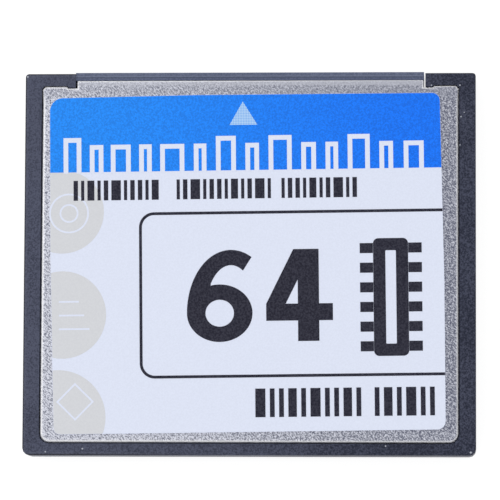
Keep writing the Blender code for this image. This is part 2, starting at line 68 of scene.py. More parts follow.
class Wire:
    """One output of a shader node. Arithmetic on wires and numbers adds Math nodes."""

    def __init__(self, tree, socket=None):
        self.tree = tree
        self.socket = socket

    def node(self, kind, settings, sockets, output=0):
        """Adds a node: its settings first, with a ramp's stops, then values or wires on its sockets."""
        made = self.tree.nodes.new("ShaderNode" + kind)
        for name, value in settings.items():
            if name == "stops":
                ramp = made.color_ramp
                while len(ramp.elements) < len(value):
                    ramp.elements.new(0.5)
                for element, (place, color) in zip(ramp.elements, value):
                    element.position = place
                    element.color = (*color, 1.0)
            else:
                setattr(made, name, value)
        for name, value in sockets.items():
            if isinstance(value, Wire):
                self.tree.links.new(value.socket, made.inputs[name])
            else:
                made.inputs[name].default_value = value
        return Wire(self.tree, made.outputs[output])

    def maths(self, operation, first, second=0.0):
        return self.node("Math", {"operation": operation}, {0: first, 1: second})

    def __add__(self, other):
        return self.maths("ADD", self, other)

    def __radd__(self, other):
        return self.maths("ADD", other, self)

    def __sub__(self, other):
        return self.maths("SUBTRACT", self, other)

    def __rsub__(self, other):
        return self.maths("SUBTRACT", other, self)

    def __mul__(self, other):
        return self.maths("MULTIPLY", self, other)

    def __rmul__(self, other):
        return self.maths("MULTIPLY", other, self)

    def __gt__(self, other):
        return self.maths("GREATER_THAN", self, other)

    def __abs__(self):
        return self.maths("ABSOLUTE", self)

    def between(self, low, high):
        """Rises smoothly from 0 to 1 as this value goes from low to high."""
        return self.node("MapRange", {"interpolation_type": "SMOOTHSTEP"},
                         {"Value": self, "From Min": low, "From Max": high})

    def split(self, axis):
        return self.node("SeparateXYZ", {}, {"Vector": self}, "XYZ".index(axis))

    def noise(self, size, detail=2.0, roughness=0.5, seed=0.0):
        """Noise whose features are about this size, in metres, from 0 to 1."""
        return self.node("TexNoise", {"noise_dimensions": "4D"}, {
            "Vector": self, "W": seed, "Scale": 1.0 / size, "Detail": detail,
            "Roughness": roughness}, "Fac")

    def mix(self, first, second):
        """Colour between the first, at 0, and the second, at 1."""
        return self.node("Mix", {"data_type": "RGBA"}, {0: self, 6: first, 7: second}, 2)

    def bump(self, depth, strength=1.0):
        """Normal of a surface raised by this value times the depth, in metres."""
        return self.node("Bump", {}, {"Height": self, "Distance": depth, "Strength": strength})


def finish(name, **fixed):
    """New material, its shader and a wire of its Object coordinates. Fixed values go on the shader."""
    material = bpy.data.materials.new(name)
    material.use_nodes = True
    tree = material.node_tree
    shader = tree.nodes["Principled BSDF"]
    for socket, value in fixed.items():
        shader.inputs[socket.replace("_", " ")].default_value = value
    place = Wire(tree).node("TexCoord", {}, {}, "Object")
    return material, shader, place


def feed(shader, **wires):
    """Links each wire to the shader's input of its name."""
    for socket, wire in wires.items():
        wire.tree.links.new(wire.socket, shader.inputs[socket.replace("_", " ")])


def rgb(red, green, blue):
    """Opaque colour, as a socket takes it."""
    return (red, green, blue, 1.0)


def dress(node, material):
    """Gives a CAD node this material in place of its plain one."""
    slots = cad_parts[node].data.materials
    slots.clear()
    slots.append(material)


def least(*wires):
    """Smallest of these wires, point by point."""
    smallest = wires[0]
    for wire in wires[1:]:
        smallest = smallest.maths("MINIMUM", smallest, wire)
    return smallest


def moulded(place, grain, painted_shade_fall):
    """Grain of an eroded mould and the tone that it gives, from 0 to 1, darker to the card's right by
    painted shade.
    """
    skin = place.noise(grain, detail=2.0, roughness=0.6)
    clouds = place.noise(CLOUDS, detail=3.0)
    across = place.split("X").between(-FADE_HALF, FADE_HALF)
    tone = 0.78 * skin.between(0.34, 0.66) + 0.22 * clouds.between(0.35, 0.65)
    return skin, tone - painted_shade_fall * (across - 0.5)


def specks_and_glints(place, spots):
    """Mask of pale specks at these (x, y, radius) in millimetres, dust and painted glints."""
    x, y = place.split("X"), place.split("Y")
    mask = 0.0
    for spot_x, spot_y, radius in spots:
        away = abs(x - spot_x * MM) + abs(y - spot_y * MM)
        mask = mask + (1 - away.between(0.4 * radius * MM, radius * MM))
    return mask


FRAME_LOW, FRAME_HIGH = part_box("frame")
FRAME_GRAIN = 0.14 * MM
CLOUDS = 5 * MM
FADE_HALF = 22 * MM
LEFT_PART = (-20 * MM, 0.0)
FRAME_DARK, FRAME_LIGHT = rgb(0.008, 0.011, 0.027), rgb(0.070, 0.078, 0.123)
EDGE_SHADE_WIDTH = 0.14 * MM
EDGE_SHADE_BLACK = rgb(0.006, 0.006, 0.010)
RIM_HIGHLIGHT_BAND = (0.18 * MM, 0.36 * MM)
RIM_HIGHLIGHT_GREY = rgb(0.16, 0.17, 0.21)
SPECK_AND_GLINT_WHITE = rgb(0.42, 0.44, 0.50)
# Place and radius of each speck in millimetres; some are dust, others painted glints on corners and edges
FRAME_SPECKS_AND_GLINTS = ((-21.2, 17.8, 0.14), (17.2, 16.9, 0.10), (19.9, 16.9, 0.12), (20.0, 13.9, 0.11),
              (20.3, 14.3, 0.08), (19.9, 11.2, 0.10), (-15.7, -17.6, 0.13), (-19.2, -17.9, 0.11),
              (12.9, -17.3, 0.12), (20.9, -17.9, 0.16), (19.3, -11.6, 0.08), (19.4, -14.2, 0.08))

material, shader, place = finish("frame_plastic", Specular_IOR_Level=0.28)
# The tone falls towards the card's right as painted shade.
skin, tone = moulded(place, FRAME_GRAIN, 0.5)
x, y, z = (place.split(axis) for axis in "XYZ")
inside = least(x - FRAME_LOW[0], FRAME_HIGH[0] - x, y - FRAME_LOW[1], FRAME_HIGH[1] - y)
leftward = 1 - x.between(*LEFT_PART)
# Painted shade: the upper outer edge is painted near black, most at the left.
painted_edge_shade = (1 - inside.between(0.4 * EDGE_SHADE_WIDTH, EDGE_SHADE_WIDTH)) * (0.10 + 0.80 * leftward)
painted_edge_shade = painted_edge_shade * z.between(FRAME_HIGH[2] - 2 * EDGE_SHADE_WIDTH, FRAME_HIGH[2] - EDGE_SHADE_WIDTH)
# Painted highlight: a faint grey band just inside the painted edge shade, at the left.
painted_rim_highlight = inside.between(EDGE_SHADE_WIDTH, RIM_HIGHLIGHT_BAND[0]) * (1 - inside.between(RIM_HIGHLIGHT_BAND[0], RIM_HIGHLIGHT_BAND[1])) * leftward
plastic = painted_edge_shade.mix(tone.mix(FRAME_DARK, FRAME_LIGHT), EDGE_SHADE_BLACK)
plastic = (0.15 * painted_rim_highlight).mix(plastic, RIM_HIGHLIGHT_GREY)
# Pale specks: partly dust, partly painted glints on the frame's corners and inner edges.
feed(shader, Base_Color=specks_and_glints(place, FRAME_SPECKS_AND_GLINTS).mix(plastic, SPECK_AND_GLINT_WHITE),
     Roughness=0.46 + 0.16 * (skin - 0.5) + 0.45 * painted_edge_shade, Normal=skin.bump(0.007 * MM))
dress("frame", material)


# Socket block
# The connector's housing, moulded in a stiffer plastic than the frame's, a little lighter and with
# more shine. It is pushed in from inside, and its two ears sit behind the frame's front corners. Its
# lip has a painted highlight along the edge of its chamfer and a painted shadow line behind, and its
# tone is a little darker towards the card's right as painted shade.

CREASE = 17.77 * MM
CREASE_SOFT = 0.02 * MM
CREASE_FADE = (0.08 * MM, 0.13 * MM)
SOCKET_GRAIN = 0.17 * MM
SOCKET_DARK, SOCKET_LIGHT = rgb(0.050, 0.064, 0.120), rgb(0.108, 0.128, 0.205)
CREASE_HIGHLIGHT_BLUE, CREASE_SHADOW_BLACK = rgb(0.22, 0.25, 0.34), rgb(0.01, 0.01, 0.02)
LIP_HALF = 16.50 * MM
LIP_REAR = 17.44 * MM
LIP_CHAMFER = 0.33 * MM
LIP_DROP = 0.14 * MM
LIP_END = 0.115 * MM
LIP_SUNK = 0.01 * MM
SHARP_OVER = math.radians(30)


def link_mesh(name, verts, faces, material, **measures):
    """Object with this mesh. Each measure is one number a vertex, kept for the material."""
    mesh = bpy.data.meshes.new(name)
    mesh.from_pydata(np.asarray(verts).reshape(-1, 3).tolist(), [], faces)
    for measure, values in measures.items():
        mesh.attributes.new(measure, "FLOAT", "POINT").data.foreach_set("value", np.ravel(values))
    mesh.materials.append(material)
    mesh.shade_smooth()
    mesh.set_sharp_from_angle(angle=SHARP_OVER)
    piece = bpy.data.objects.new(name, mesh)
    bpy.context.scene.collection.objects.link(piece)
    return piece


material, shader, place = finish("socket_plastic", Specular_IOR_Level=0.35)
# The tone falls a little towards the card's right as painted shade.
skin, tone = moulded(place, SOCKET_GRAIN, 0.15)
# Painted highlight on the lip's chamfer crest, and a painted shadow line just behind it.
ahead = place.split("Y") - CREASE
past = ahead.between(-CREASE_SOFT, CREASE_SOFT)
painted_crease_highlight = past * (1 - ahead.between(*CREASE_FADE))
painted_crease_shadow = (1 - past) * ahead.between(-CREASE_FADE[1], -CREASE_FADE[0])
plastic = (0.30 * painted_crease_highlight).mix(tone.mix(SOCKET_DARK, SOCKET_LIGHT), CREASE_HIGHLIGHT_BLUE)
feed(shader, Base_Color=(0.30 * painted_crease_shadow).mix(plastic, CREASE_SHADOW_BLACK),
     Roughness=0.40 + 0.16 * (skin - 0.5), Normal=skin.bump(0.004 * MM))
dress("connector_housing", material)

block_low, block_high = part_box("connector_housing")
lip_low, lip_high, lip_front = block_low[2], block_high[2], block_high[1]
profile = np.array([
    (LIP_REAR, lip_low), (lip_front - LIP_CHAMFER, lip_low), (lip_front, lip_low + LIP_DROP),
    (lip_front, lip_high - LIP_DROP), (lip_front - LIP_CHAMFER, lip_high), (LIP_REAR, lip_high)])
ends = [np.insert(profile, 0, x, axis=1) for x in (LIP_SUNK - LIP_HALF, -LIP_HALF - LIP_END)]
count = len(profile)
here, after = np.arange(count), (np.arange(count) + 1) % count
walls = np.stack([here, here + count, after + count, after], axis=1).tolist()
caps = [here.tolist(), (here + count)[::-1].tolist()]
piece = link_mesh("lip_end", np.vstack(ends), walls + caps, material)
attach(piece, "root")


# Contacts
# Fifty pieces of phosphor bronze strip, stamped, bent and plated with gold. They are pressed into the
# sockets from behind, and their tails are soldered to the board.

def plated(name, dark, light, roughness, grain):
    """Bare or plated metal, mottled at this grain size."""
    material, shader, place = finish(name, Metallic=1.0)
    mottle = place.noise(grain, detail=4.0)
    feed(shader, Base_Color=mottle.between(0.3, 0.7).mix(dark, light),
         Roughness=roughness + 0.2 * (mottle - 0.5), Normal=mottle.bump(0.002 * MM))
    return material


gold = plated("contact_gold", dark=rgb(0.70, 0.47, 0.15), light=rgb(0.86, 0.64, 0.27),
              roughness=0.26, grain=0.15 * MM)
for contact_name in [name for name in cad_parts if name.startswith("contact_")]:
    dress(contact_name, gold)


# Board
# Glass-cloth laminate with copper tracks under a green lacquer. The small parts that are soldered to
# it stand proud of both faces: ceramic bodies with tinned ends.

board_low, board_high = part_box("circuit_board")
BOARD_MIDDLE_Z = (board_low[2] + board_high[2]) / 2
BOARD_HALF_THICKNESS = 0.30 * MM
PROUD = 0.01 * MM
PART_HALF_LENGTH = 0.55 * MM
PART_COLUMN = 15.35 * MM
TRACK_PITCH = 0.8 * MM
# Length of one band of the wave texture at a scale of 1
WAVE_PERIOD = math.pi / 10
LACQUER_DARK, LACQUER_LIGHT = rgb(0.010, 0.090, 0.045), rgb(0.022, 0.165, 0.075)
CERAMIC_BROWN = rgb(0.20, 0.13, 0.085)
TIN = rgb(0.66, 0.66, 0.64)

material, shader, place = finish("board_green", Specular_IOR_Level=0.5)
raised = abs(place.split("Z") - BOARD_MIDDLE_Z) > BOARD_HALF_THICKNESS + PROUD
tinned = raised * (abs(abs(place.split("X")) - PART_COLUMN) > PART_HALF_LENGTH)
stripes = place.node("TexWave", {"wave_type": "BANDS", "bands_direction": "Y"}, {
    "Vector": place, "Scale": WAVE_PERIOD / TRACK_PITCH, "Distortion": 6.0, "Detail": 1.0,
    "Detail Scale": 0.4}, "Fac").between(0.45, 0.55)
fitted = raised.mix(stripes.mix(LACQUER_DARK, LACQUER_LIGHT), CERAMIC_BROWN)
feed(shader, Base_Color=tinned.mix(fitted, TIN), Metallic=0.9 * tinned,
     Roughness=0.34 + 0.14 * raised, Normal=stripes.bump(0.02 * MM))
dress("circuit_board", material)


# Chips and crystal
# Black epoxy bodies on tinned leads, two of flash memory on the board and the controller under it.
# The crystal is in a welded can of nickel silver.

LEAD_REACH = 0.80 * MM
LEAD_MARGIN = 0.005 * MM
EPOXY_GRAIN = 0.12 * MM
EPOXY_DARK, EPOXY_LIGHT = rgb(0.012, 0.012, 0.013), rgb(0.030, 0.030, 0.032)
DULL_TIN = rgb(0.62, 0.62, 0.60)


def leaded(name, middle, half_width, half_length):
    """Chip material: matt epoxy inside the body's edges, and tin on the leads outside them."""
    material, shader, place = finish(name, Specular_IOR_Level=0.45)
    beyond_side = abs(place.split("X") - middle[0]) - half_width
    beyond_end = abs(place.split("Y") - middle[1]) - half_length
    lead = place.maths("MAXIMUM", beyond_side, beyond_end) > LEAD_MARGIN
    skin = place.noise(EPOXY_GRAIN, detail=3.0)
    epoxy = skin.between(0.3, 0.7).mix(EPOXY_DARK, EPOXY_LIGHT)
    feed(shader, Base_Color=lead.mix(epoxy, DULL_TIN), Metallic=1.0 * lead,
         Roughness=0.52 - 0.2 * lead + 0.1 * skin, Normal=skin.bump(0.006 * MM))
    return material


for chip_name, leads_at_sides in (("flash_chip_1", 0), ("flash_chip_2", 0), ("controller_chip", 1)):
    low, high = (Vector(corner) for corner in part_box(chip_name))
    body = (high - low) / 2 - Vector((leads_at_sides, 1.0, 0.0)) * LEAD_REACH
    dress(chip_name, leaded(chip_name + "_epoxy", (low + high) / 2, body.x, body.y))
dress("crystal", plated("crystal_can", dark=rgb(0.50, 0.49, 0.46), light=rgb(0.66, 0.65, 0.61),
                        roughness=0.3, grain=0.4 * MM))


# Covers
# Two alike pressings in 0.2 mm stainless steel sheet, with an etched skin. Each one's rim is bent
# inwards along the sides and the rear, and three clips a side snap into slots in the frame.

cover_low, cover_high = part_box("top_cover")
COVER_HALF, COVER_REAR = cover_high[0], cover_low[1]
TONGUE_FRONT, COVER_TOP = cover_high[1], cover_high[2]
TONGUE_HALF = 16.45 * MM
TONGUE_RADIUS = 0.10 * MM
COVER_RADIUS = 0.90 * MM
SHOULDER = 16.86 * MM
HOOK = 17.34 * MM
HOOK_DROP = 0.15 * MM
HOOK_RADIUS = 0.04 * MM
CORNER_CHAMFER = 0.29 * MM
CHAMFER_RADIUS = 0.06 * MM
SHEET = 0.20 * MM
BEND_RADIUS = 0.25 * MM
RIM_DEPTH = 0.45 * MM
RIM_FADE = 0.07 * MM
CUT_EDGE = 0.05 * MM
COINED_WIDTH = 0.12 * MM
COINED_RADIUS = 0.06 * MM
COINED_TURN = math.radians(27)
FLAT_FROM = 0.42 * MM
UNDER_FROM, UNDER_TO = 0.07 * MM, 0.38 * MM
CLIP_DEPTH = 0.55 * MM
CLIP_HALF = 1.5 * MM
CLIP_SLOPE = 0.03 * MM
CLIP_PLACES = np.array([-10.0, 0.0, 10.0]) * MM


def corner_rows(corners, steps=8):
    """One list of rows for each corner: an arc's steps where it is round, a single row if sharp.

    A row is (corner, turn, other corner, its turn, share of the other), the turn from 0 to 1.
    """
    return [[(k, turn, k, turn, 0.0) for turn in (np.linspace(0, 1, steps) if radius else [0.5])]
            for k, radius in enumerate(corners[:, 2])]


def inset_outline(corners, rows, inset):
    """Points of an outline with (x, y, radius) corners, for each row and each inset from it.

    A corner's point is the sharp corner, plus its inward mitre times the larger of radius and inset,
    plus the arc's outward direction times the rest of the radius. A radius below zero is for a
    corner that is hollow. A row between two corners blends their points by its share.
    """
    place, radius = corners[:, :2], corners[:, 2]
    ahead = np.roll(place, -1, axis=0) - place
    ahead /= np.linalg.norm(ahead, axis=1, keepdims=True)
    inward = np.column_stack([-ahead[:, 1], ahead[:, 0]])
    before = np.roll(inward, 1, axis=0)
    dot = np.sum(before * inward, axis=1)
    mitre = (before + inward) / (1 + dot[:, None])
    sweep = np.arctan2(before[:, 0] * inward[:, 1] - before[:, 1] * inward[:, 0], dot)
    rows = np.asarray(rows, dtype=float)
    inset = np.broadcast_to(inset, (len(rows), np.shape(inset)[-1]))[..., None]

    def at(corner, turn):
        corner = corner.astype(int)
        size = radius[corner][:, None, None]
        angle = (sweep[corner] * turn)[:, None]
        start = -before[corner]
        sideways = np.column_stack([-start[:, 1], start[:, 0]])
        outward = start * np.cos(angle) + sideways * np.sin(angle)
        deep = np.where(size < 0, size, np.maximum(size, inset))
        rest = np.where(size < 0, size - inset, np.maximum(size - inset, 0.0))
        return place[corner][:, None] + mitre[corner][:, None] * deep + outward[:, None] * rest

    share = rows[:, 4][:, None, None]
    return at(rows[:, 0], rows[:, 1]) * (1 - share) + at(rows[:, 2], rows[:, 3]) * share


def profile_arc(inset, drop, radius, start, end, steps):
    """Arc in the profile's plane between two angles, in degrees: 90 is up, and 180 is outwards."""
    angle = np.radians(np.linspace(start, end, steps))
    return np.column_stack([inset + radius * np.cos(angle), drop + radius * np.sin(angle)])


def coined_edge():
    """Free edge, pressed to a slope: a small arc, the slope, and an arc of the cut edge's radius.

    The second arc's centre is as low as it must be for the slope to meet both arcs.
    """
    sine, cosine = math.sin(COINED_TURN), math.cos(COINED_TURN)
    across = COINED_WIDTH - COINED_RADIUS * sine - CUT_EDGE * (1 - sine)
    low = COINED_RADIUS * (cosine - 1) - across * math.tan(COINED_TURN) - CUT_EDGE * cosine
    slope_at = 90 + math.degrees(COINED_TURN)
    return np.vstack([profile_arc(COINED_WIDTH, -COINED_RADIUS, COINED_RADIUS, 90, slope_at, 3),
                      profile_arc(CUT_EDGE, low, CUT_EDGE, slope_at, 180, 5)])


def weld(piece, distance=0.0005 * MM):
    """Merges the points that fall together and drops what is left without area."""
    shape = bmesh.new()
    shape.from_mesh(piece.data)
    bmesh.ops.remove_doubles(shape, verts=shape.verts, dist=distance)
    bmesh.ops.dissolve_degenerate(shape, edges=shape.edges, dist=distance)
    shape.to_mesh(piece.data)
    shape.free()


def loop_faces(rows, columns):
    """Quads of a grid that is closed along its rows, and one many-sided face at each end."""
    row = np.arange(rows)[:, None]
    column = np.arange(columns - 1)[None, :]
    after = (row + 1) % rows
    quads = np.stack([row * columns + column, row * columns + column + 1,
                      after * columns + column + 1, after * columns + column], axis=-1)
    first = np.arange(rows) * columns
    caps = [first.tolist(), (first + columns - 1)[::-1].tolist()]
    return quads.reshape(-1, 4).tolist() + caps


def edge_profiles():
    """Profiles of the bent rim and of the plain free edge, and a mask of the rim's lower edge.

    Both go from the top over the edge to the underside, as (inset, height) with as many points.
    """
    bend = profile_arc(BEND_RADIUS, -BEND_RADIUS, BEND_RADIUS, 90, 180, 8)
    lower_edge = np.vstack([
        profile_arc(CUT_EDGE, CUT_EDGE - RIM_DEPTH, CUT_EDGE, 180, 270, 3),
        profile_arc(SHEET - CUT_EDGE, CUT_EDGE - RIM_DEPTH, CUT_EDGE, 270, 360, 3)])
    inner_bend = profile_arc(BEND_RADIUS, -BEND_RADIUS, BEND_RADIUS - SHEET, 180, 90, 4)
    rimmed = np.vstack([(FLAT_FROM, 0.0), bend, lower_edge, inner_bend, (FLAT_FROM, -SHEET)])
    free_edge = np.vstack([
        coined_edge(),
        profile_arc(CUT_EDGE, CUT_EDGE - SHEET, CUT_EDGE, 180, 270, 3)])
    under = np.linspace(UNDER_FROM, UNDER_TO, len(rimmed) - len(free_edge) - 2)
    under = np.column_stack([under, np.full(len(under), -SHEET)])
    plain = np.vstack([(FLAT_FROM, 0.0), free_edge, under, (FLAT_FROM, -SHEET)])
    lower = np.zeros(len(rimmed))
    lower[1 + len(bend):][:len(lower_edge)] = 1.0
    return rimmed, plain, lower


def pressing():
    """A cover's points, and how far each lies from the outline: an edge profile carried round it.

    The profile is a blend of a bent rim, along the sides and rear, and a plain cut edge round the
    front. At the clips the rim's lower edge drops.
    """
    right = np.array([
        (COVER_HALF, COVER_REAR, COVER_RADIUS),
        (COVER_HALF, SHOULDER - CORNER_CHAMFER, CHAMFER_RADIUS),
        (COVER_HALF - CORNER_CHAMFER, SHOULDER, CHAMFER_RADIUS),
        (HOOK + HOOK_DROP, SHOULDER, HOOK_RADIUS),
        (HOOK, SHOULDER - HOOK_DROP, 0.0),
        (TONGUE_HALF, SHOULDER - HOOK_DROP, 0.0),
        (TONGUE_HALF, TONGUE_FRONT, TONGUE_RADIUS),
    ])
    left = right[::-1] * (-1, 1, 1)
    corners = np.vstack([left[-1:], right, left[:-1]])
    rows = corner_rows(corners)
    rim_end = SHOULDER - CORNER_CHAMFER - CHAMFER_RADIUS
    # A side's straight part runs from the rear corner's arc to the arc at the front chamfer
    start = COVER_REAR + COVER_RADIUS
    end = SHOULDER - CORNER_CHAMFER - CHAMFER_RADIUS * math.tan(math.pi / 8)
    clip_edges = [place + side * CLIP_HALF + part * CLIP_SLOPE / 2
                  for place in CLIP_PLACES for side in (-1, 1) for part in (-1, 1)]
    share = (np.sort(clip_edges + [rim_end - RIM_FADE, rim_end]) - start) / (end - start)
    last = len(corners) - 1
    rows[1] += [(1, 1.0, 2, 0.0, part) for part in share]
    rows[last] += [(last, 1.0, 0, 0.0, 1 - part) for part in share[::-1]]
    rows = np.vstack(rows)
    rimmed, plain, lower = edge_profiles()
    base = inset_outline(corners, rows, np.zeros((1, 1)))[:, 0]
    rim = np.clip((rim_end - base[:, 1]) / RIM_FADE, 0.0, 1.0)[:, None]
    off_clip = np.min(np.abs(base[:, 1][:, None] - CLIP_PLACES), axis=1) - CLIP_HALF
    clip = np.clip(0.5 - off_clip / CLIP_SLOPE, 0.0, 1.0) * (np.abs(base[:, 0]) > COVER_HALF - CUT_EDGE)
    inset = rim * rimmed[:, 0] + (1 - rim) * plain[:, 0]
    drop = rim * rimmed[:, 1] + (1 - rim) * plain[:, 1] - clip[:, None] * lower * CLIP_DEPTH
    flat = inset_outline(corners, rows, inset)
    return np.concatenate([flat, (COVER_TOP + drop)[..., None]], axis=2), inset


FRONT_STRIP = (15.2 * MM, 16.4 * MM)
TONGUE_STRIP = (16.85 * MM, 17.05 * MM)
REAR_STRIP = (-16.4 * MM, -15.2 * MM)
STEEL_DARK, STEEL_LIGHT = rgb(0.17, 0.182, 0.255), rgb(0.865, 0.885, 0.985)
PAINTED_EDGE_HIGHLIGHT = rgb(0.95, 0.95, 0.96)
FINE_PITS = 0.11 * MM
COARSE_PITS = 0.16 * MM
TURN_PATCHES = 4 * MM
STEEL_HALF = 20 * MM


def pressed_steel():
    """Etched steel: short slanting pits, shallower at the front, and a painted highlight at its edges.

    Its tone falls from the left to the right as painted shade, less so in the front strip, and rises
    on the tongue.
    """
    material, shader, place = finish("pressed_steel", Metallic=1.0)

    def pits(size, turn, stretch):
        slanted = place.node("Mapping", {"vector_type": "TEXTURE"}, {
            "Vector": place, "Rotation": (0.0, 0.0, math.radians(turn)), "Scale": (1.0, stretch, 1.0)})
        return slanted.noise(size, detail=1.0, seed=turn).between(0.34, 0.66)

    turns = place.noise(TURN_PATCHES, detail=2.0).between(0.44, 0.56)
    fine = pits(FINE_PITS, 45, 1.7)
    coarse = turns * pits(COARSE_PITS, 45, 2.6) + (1 - turns) * pits(COARSE_PITS, -30, 1.6)
    grain = 0.65 * fine + 0.35 * coarse
    x, y = place.split("X"), place.split("Y")
    across = x.between(-STEEL_HALF, STEEL_HALF)
    forward = y.between(*FRONT_STRIP)
    tongue = y.between(*TONGUE_STRIP)
    rearward = 1 - y.between(*REAR_STRIP)
    depth = 1.12 - 0.24 * across - 0.42 * forward - 0.34 * tongue
    # The fall of the tone from the left to the right is painted shade.
    sides = 0.645 - 0.300 * across + 0.065 * rearward
    tone = sides + forward * ((0.530 - 0.12 * across) - sides) + tongue * (0.135 + 0.06 * across)
    tone = tone + (grain - 0.5) * depth
    # The edge mask is a painted highlight, narrower towards the right and the front.
    from_edge = place.node("Attribute", {"attribute_name": "from_edge"}, {}, "Fac")
    edge = 1 - from_edge.between((0.15 - 0.04 * across - 0.05 * forward) * MM,
                                 (0.36 - 0.05 * across - 0.14 * forward - 0.07 * tongue) * MM)
    etched = tone.between(0.0, 1.0).mix(STEEL_DARK, STEEL_LIGHT)
    feed(shader, Base_Color=(0.9 * edge).mix(etched, PAINTED_EDGE_HIGHLIGHT),
         Roughness=0.42 - 0.06 * tongue + (0.15 + 0.35 * forward) * edge + 0.10 * (grain - 0.5),
         Normal=(grain * depth * (1 - 0.8 * edge)).bump(0.012 * MM, 0.8))
    return material


MIDDLE = (CAD_BOX[0][2] + CAD_BOX[1][2]) / 2
steel = pressed_steel()
shape, inset = pressing()
for cover_name, turned in (("top_cover", False), ("bottom_cover", True)):
    verts = shape * (-1, 1, -1) + (0, 0, 2 * MIDDLE) if turned else shape
    faces = loop_faces(*shape.shape[:2])
    piece = link_mesh(cover_name + "_pressing", verts, faces, steel, from_edge=inset)
    weld(piece)
    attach(piece, "root")
    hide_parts(cover_name)


# Label
# Coated paper film with its own adhesive, die-cut with round corners and stuck on by hand, so that it
# lies a little askew. Its print is laid on it in thin coats, each a few microns above the last.

label_low, label_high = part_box("label")
LABEL_BOTTOM, LABEL_TOP = label_low[2], label_high[2]
LABEL_ORIGIN = np.array((-0.19, -0.068)) * MM
LABEL_TURN = math.radians(0.72)
COAT = 0.004 * MM
FIBRE = 0.18 * MM
FIBRE_SHADE = (0.72, 0.72, 0.74)
FILM_WHITE = (0.720, 0.765, 0.901)
INK_HALF = 19 * MM
TRIM = 0.015 * MM
# Place and radius of each corner
LABEL_CORNERS = np.array([
    (-18.46, -15.97, 0.60),
    (18.54, -15.89, 0.80),
    (18.59, -2.0, 0.0),
    (18.38, 16.03, 0.75),
    (-5.0, 16.16, 0.0),
    (-18.69, 16.04, 1.25),
    (-18.70, 2.0, 0.0),
]) * MM


def outline(corners, steps=12):
    """Rounded outline from (x, y, radius) corners, given in metres."""
    corners = np.asarray(corners, dtype=float)
    rows = np.vstack(corner_rows(corners, steps))
    return inset_outline(corners, rows, np.zeros((1, 1)))[:, 0]


def box(left, right, low, high, radius=0.0):
    """Outline of a rectangle with this corner radius, from sizes in millimetres."""
    return outline(np.array([(left, low, radius), (right, low, radius),
                             (right, high, radius), (left, high, radius)]) * MM)


def disc(x, y, radius, count=64):
    """Points round a circle, in even turns, from sizes in millimetres."""
    turn = np.arange(count) / count * 2 * math.pi
    return (np.column_stack([np.cos(turn), np.sin(turn)]) * radius + (x, y)) * MM


def on_film(points):
    """Brings points past the film's edge back to it, first at its straight edges, then at its corners."""
    points = np.array(points, dtype=float)
    place = LABEL_CORNERS[:, :2]
    ahead = np.roll(place, -1, axis=0) - place
    ahead /= np.linalg.norm(ahead, axis=1, keepdims=True)
    inward = np.column_stack([-ahead[:, 1], ahead[:, 0]])
    for corner, normal in zip(place, inward):
        depth = (points - corner) @ normal - TRIM
        points += normal * np.maximum(-depth, 0.0)[:, None]
    before = np.roll(inward, 1, axis=0)
    for corner, radius, first, second in zip(place, LABEL_CORNERS[:, 2], before, inward):
        mitre = (first + second) / (1 + first @ second)
        centre = corner + mitre * radius
        away = points - centre
        distance = np.linalg.norm(away, axis=1)
        outside = (away @ first < 0) & (away @ second < 0) & (distance > radius - TRIM)
        points[outside] = centre + away[outside] * ((radius - TRIM) / distance[outside])[:, None]
    return points


def stuck(points):
    """Label places, turned and moved as the label lies on the card."""
    cosine, sine = math.cos(LABEL_TURN), math.sin(LABEL_TURN)
    return points @ np.array([[cosine, sine], [-sine, cosine]]) + LABEL_ORIGIN


def coats(name, outlines, high, material, low=LABEL_TOP):
    """Thin closed slabs, one for each outline, which runs anticlockwise; (outer, hole) cuts a hole."""
    verts, faces, start = [], [], 0
    for lines in outlines:
        lines = [stuck(line) for line in (lines if isinstance(lines, tuple) else (lines,))]
        flat = np.vstack(lines)
        count = len(flat)
        verts += [np.column_stack([flat, np.full(count, z)]) for z in (low, high)]
        if len(lines) == 1:
            tops = [list(range(count))]
        else:
            parts = tessellate_polygon([[Vector((x, y, 0.0)) for x, y in line] for line in lines])
            tops = [list(part) for part in parts]
        for top in tops:
            first, second, third = flat[top[:3]]
            ahead, beside = second - first, third - first
            turned = len(top) == 3 and ahead[0] * beside[1] < ahead[1] * beside[0]
            top = np.array(top[::-1] if turned else top) + start
            faces += [(top + count).tolist(), top[::-1].tolist()]
        first = start
        for number, line in enumerate(lines):
            here = first + np.arange(len(line))
            after = first + (np.arange(len(line)) + 1) % len(line)
            wall = [here, after, after + count, here + count]
            faces += np.stack(wall if number == 0 else wall[::-1], axis=1).tolist()
            first += len(line)
        start += 2 * count
    piece = link_mesh(name, np.vstack(verts), faces, material)
    weld(piece, 0.00005 * MM)
    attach(piece, "root")
    return piece


def screened(place, pitch):
    """Dots of a printer's screen: the product of two waves at 45 degrees, from 0 to 1 on a dot."""
    x, y = place.split("X"), place.split("Y")
    turns = math.pi * math.sqrt(2) / pitch
    along, aslant = (part.maths("SINE", part * turns) for part in (x + y, x - y))
    return (0.5 + 0.5 * along * aslant).between(0.3, 0.7)


